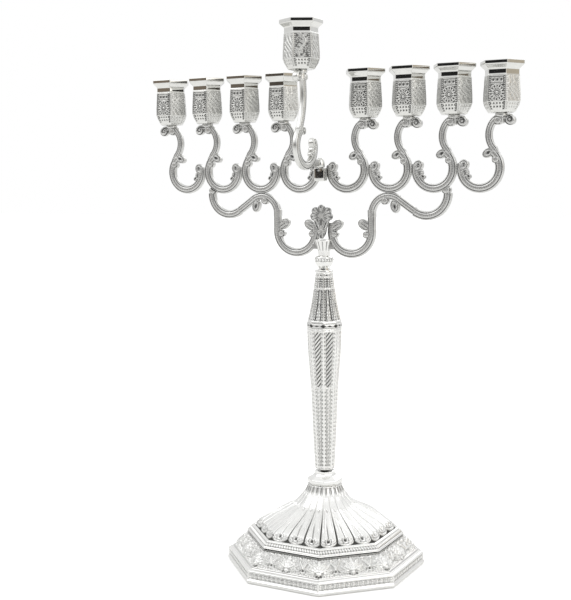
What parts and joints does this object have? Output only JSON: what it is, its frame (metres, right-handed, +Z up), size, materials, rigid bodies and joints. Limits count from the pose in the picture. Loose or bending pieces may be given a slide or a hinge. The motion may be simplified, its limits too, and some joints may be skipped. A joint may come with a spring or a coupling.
{
  "type": "menorah",
  "caption": "Silver-plated Hanukkah menorah: octagonal domed foot and stem, scroll brackets and arms with hexagonal candle cups, and a raised servant cup in front.",
  "frame": {"origin": "centre of the foot's underside", "axes": "+X along the row of cups, -Y towards the side the servant cup stands on, +Z up"},
  "size_m": [0.2408, 0.113, 0.3245],
  "materials": {
    "silver_bright": "polished",
    "silver_grey": "satin",
    "silver_cup": "satin",
    "steel": "satin",
    "felt": "matte"
  },
  "bodies": {
    "stand": {"felt_pad": "felt", "foot_cover": "steel", "foot_shell": "silver_bright", "rod_washer": "steel", "rod_nut": "steel", "tie_rod": "steel", "foot_collar": "silver_bright", "stem_lower": "silver_bright", "stem_belt": "silver_bright", "stem_upper": "silver_bright", "stem_ring": "silver_bright", "neck_collar": "silver_bright", "hub": "silver_bright", "bracket_left": "silver_grey", "bracket_right": "silver_grey", "palmette": "silver_bright", "socket_block": "silver_grey", "arm_left_1": "silver_grey", "arm_left_2": "silver_grey", "arm_left_3": "silver_grey", "arm_left_4": "silver_grey", "arm_right_1": "silver_grey", "arm_right_2": "silver_grey", "arm_right_3": "silver_grey", "arm_right_4": "silver_grey", "cup_left_1": "silver_cup", "cup_left_2": "silver_cup", "cup_left_3": "silver_cup", "cup_left_4": "silver_cup", "cup_right_1": "silver_cup", "cup_right_2": "silver_cup", "cup_right_3": "silver_cup", "cup_right_4": "silver_cup", "cup_screws": "steel"},
    "servant": {"servant_arm": "silver_bright", "servant_cup": "silver_cup", "servant_screw": "steel"}
  },
  "joints": [
    {"name": "servant_lift", "type": "slide", "parent": "stand", "child": "servant", "axis": [0, 0, 1], "range_m": [0, 0.08]}
  ]
}
